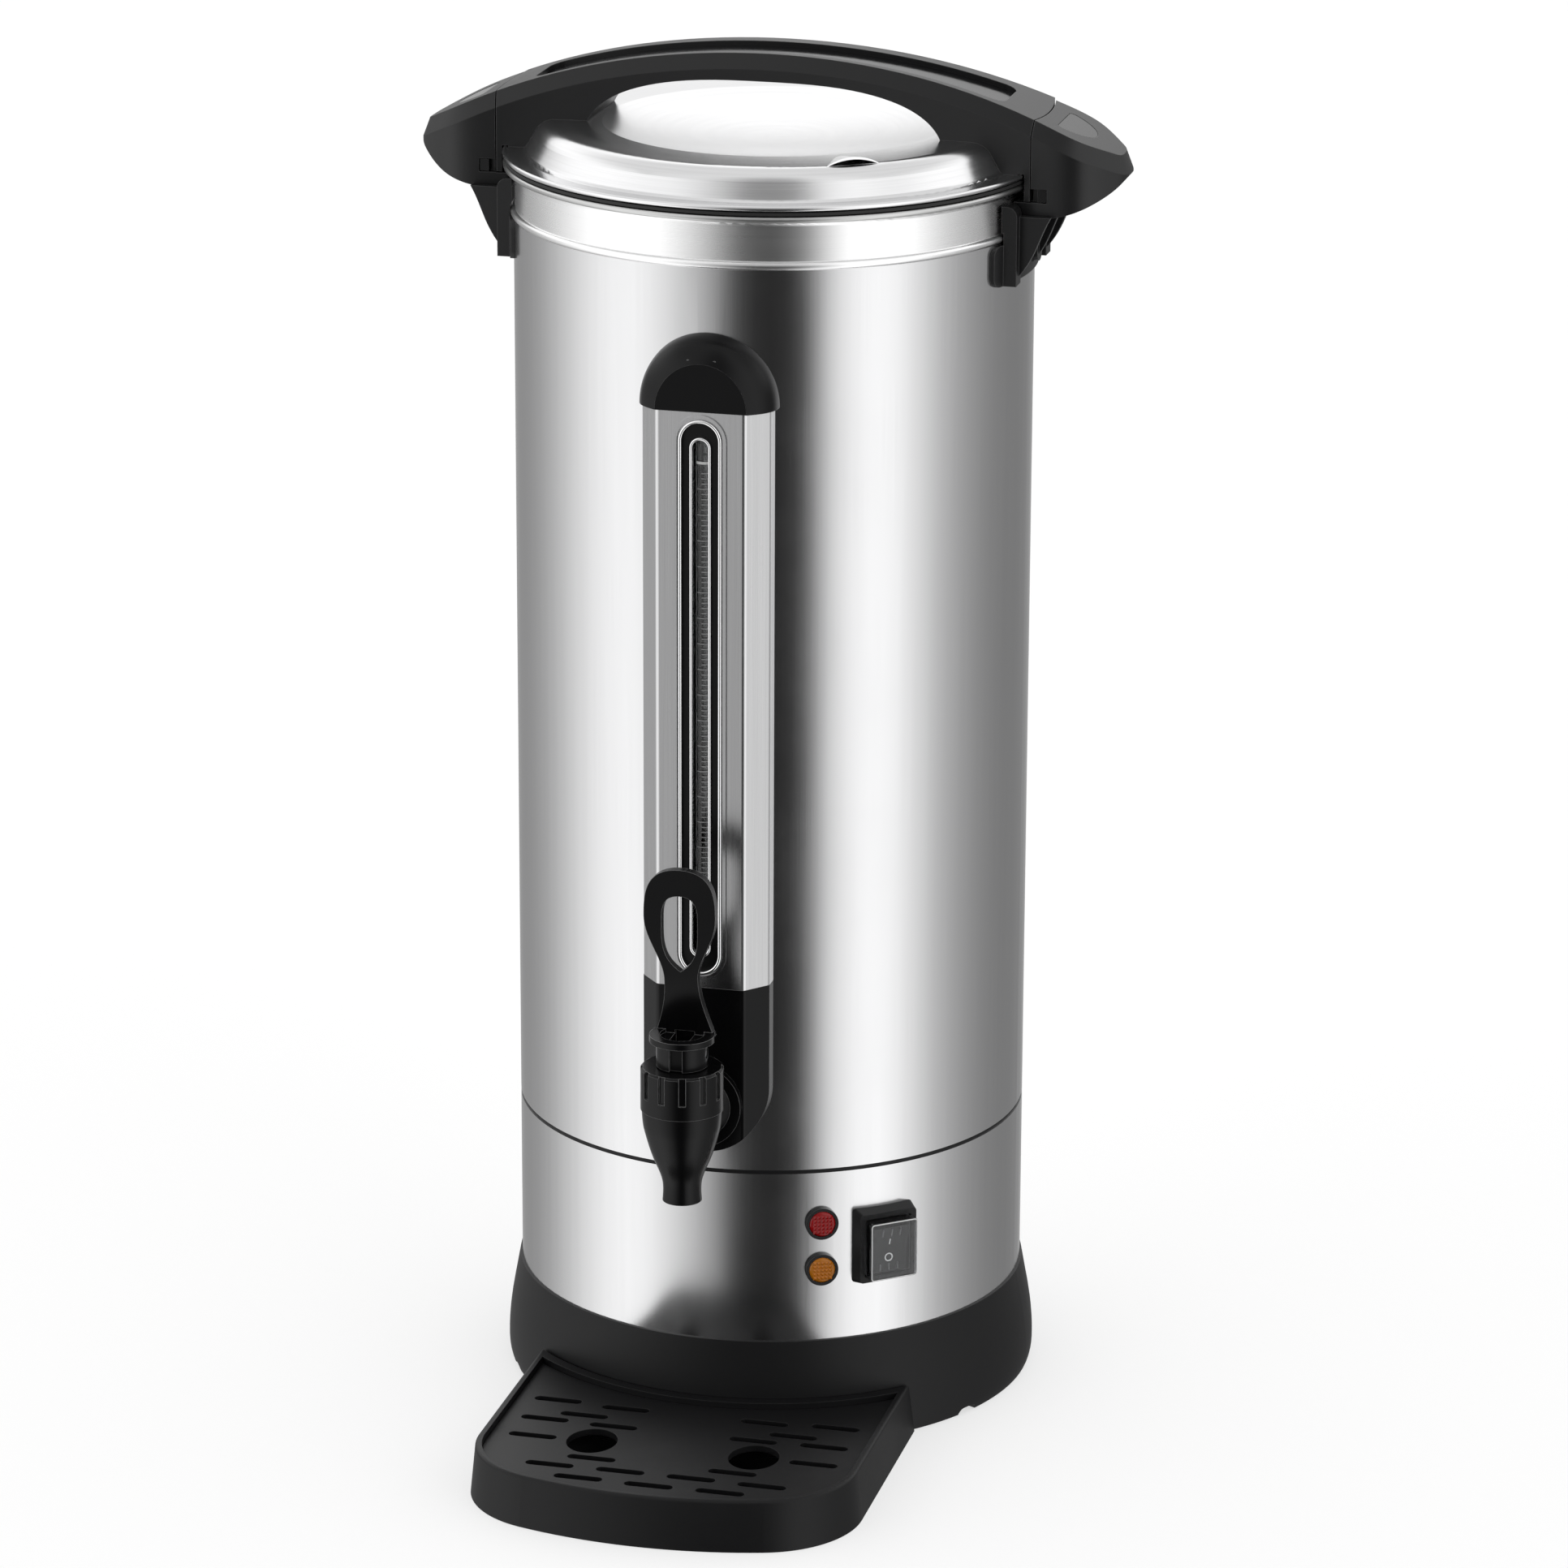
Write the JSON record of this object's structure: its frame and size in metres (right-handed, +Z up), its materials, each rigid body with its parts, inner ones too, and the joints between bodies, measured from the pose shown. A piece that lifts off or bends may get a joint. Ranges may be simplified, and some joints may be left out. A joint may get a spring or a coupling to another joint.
{
  "type": "percolating coffee urn with tap",
  "caption": "Free-standing stainless coffee urn with a level gauge, a lever tap, a twist-lock lid, an illuminated control band and a pull-out drip tray.",
  "frame": {"origin": "centre of the standing ring at table level, on the body's axis", "axes": "+Z up along the body's axis, -Y towards the tap"},
  "size_m": [0.278, 0.3125, 0.5314],
  "materials": {
    "brushed_shell": "vertical brushed",
    "polished_steel": "polished",
    "tank_steel": "satin",
    "black_moulding": "fine satin",
    "black_gloss": "gloss",
    "black_rubber": "matte",
    "silicone": "matte",
    "scale_black": "gloss",
    "gauge_glass": "clear",
    "red_lens": "clear lens",
    "amber_lens": "clear lens",
    "clear_cover": "clear soft",
    "zinc_steel": "plated",
    "aluminium_cast": "cast",
    "ceramic_white": "matte"
  },
  "bodies": {
    "urn": {"control_band": "brushed_shell", "outer_shell": "brushed_shell", "gauge_cover": "brushed_shell", "collar": "polished_steel", "gauge_bezel": "polished_steel", "inner_tank": "tank_steel", "base_skirt": "black_moulding", "seam_ring": "black_moulding", "gauge_cap": "black_moulding", "tap_plate": "black_moulding", "tap_body": "black_moulding", "tap_bonnet": "black_moulding", "tap_nut": "black_moulding", "switch_bezel": "black_moulding", "power_inlet": "black_moulding", "thermal_cutout": "black_moulding", "side_handle_right": "black_moulding", "side_handle_left": "black_moulding", "lamp_bezels": "black_gloss", "thumb_inlays": "black_gloss", "lid_catches": "black_gloss", "rubber_feet": "black_rubber", "gauge_seals": "silicone", "tap_washers": "silicone", "scale_plate": "scale_black", "gauge_tube": "gauge_glass", "lamp_heating": "red_lens", "lamp_warm": "amber_lens", "switch_cover": "clear_cover", "bottom_plate": "zinc_steel", "bottom_screws": "zinc_steel", "gauge_fittings": "zinc_steel", "gauge_nuts": "zinc_steel", "inlet_screws": "zinc_steel", "inlet_pins": "zinc_steel", "reset_nut": "zinc_steel", "handle_screws": "zinc_steel", "heating_element": "aluminium_cast", "thermostat": "ceramic_white", "terminal_block": "ceramic_white"},
    "tray": {"drip_tray": "black_moulding"},
    "grille": {"drip_grille": "black_moulding"},
    "percolator": {"pump_tube": "tank_steel", "coffee_basket": "tank_steel"},
    "basket_cover": {"basket_lid": "tank_steel"},
    "seal": {"lid_seal": "black_rubber"},
    "lid": {"lid_shell": "polished_steel", "lid_handle": "black_moulding", "handle_inlay": "black_gloss", "lid_screws": "zinc_steel"},
    "valve": {"valve_stem": "black_moulding", "seat_cup": "silicone", "tap_spring": "zinc_steel"},
    "lever": {"tap_lever": "black_moulding", "lever_pin": "zinc_steel"},
    "rocker": {"switch_rocker": "black_gloss"},
    "reset": {"reset_button": "black_gloss"}
  },
  "joints": [
    {"name": "tray_slide", "type": "slide", "parent": "urn", "child": "tray", "axis": [0, -1, 0], "range_m": [0, 0.09]},
    {"name": "grille_lift", "type": "slide", "parent": "tray", "child": "grille", "axis": [0, 0, 1], "range_m": [0, 0.04]},
    {"name": "percolator_lift", "type": "slide", "parent": "urn", "child": "percolator", "axis": [0, 0, 1], "range_m": [0, 0.375]},
    {"name": "basket_lid_lift", "type": "slide", "parent": "percolator", "child": "basket_cover", "axis": [0, 0, 1], "range_m": [0, 0.025]},
    {"name": "lid_lift", "type": "slide", "parent": "percolator", "child": "seal", "axis": [0, 0, 1], "range_m": [0, 0.12]},
    {"name": "lid_twist", "type": "hinge", "parent": "seal", "child": "lid", "pos_m": [0, 0, 0.49], "axis": [0, 0, 1], "range_deg": [0, 28]},
    {"name": "valve_slide", "type": "slide", "parent": "urn", "child": "valve", "axis": [0, 0, 1], "range_m": [0, 0.0042], "deforming": ["tap_spring"]},
    {"name": "lever_tilt", "type": "hinge", "parent": "valve", "child": "lever", "pos_m": [0, -0.139, 0.174], "axis": [1, 0, 0], "range_deg": [0, 25], "stiffness_Nm_per_rad": 0.4, "springref_deg": -11.46},
    {"name": "rocker_tip", "type": "hinge", "parent": "urn", "child": "rocker", "pos_m": [0.06484, -0.07809, 0.0799], "axis": [-0.7694, -0.6388, 0], "range_deg": [0, 18]},
    {"name": "reset_press", "type": "slide", "parent": "urn", "child": "reset", "axis": [-0.5, -0.866, 0], "range_m": [0, 0.0015], "stiffness_N_per_m": 400}
  ],
  "couplings": [
    {"joint": "valve_slide", "follows": "lever_tilt", "m_per_rad": 0.009626}
  ]
}
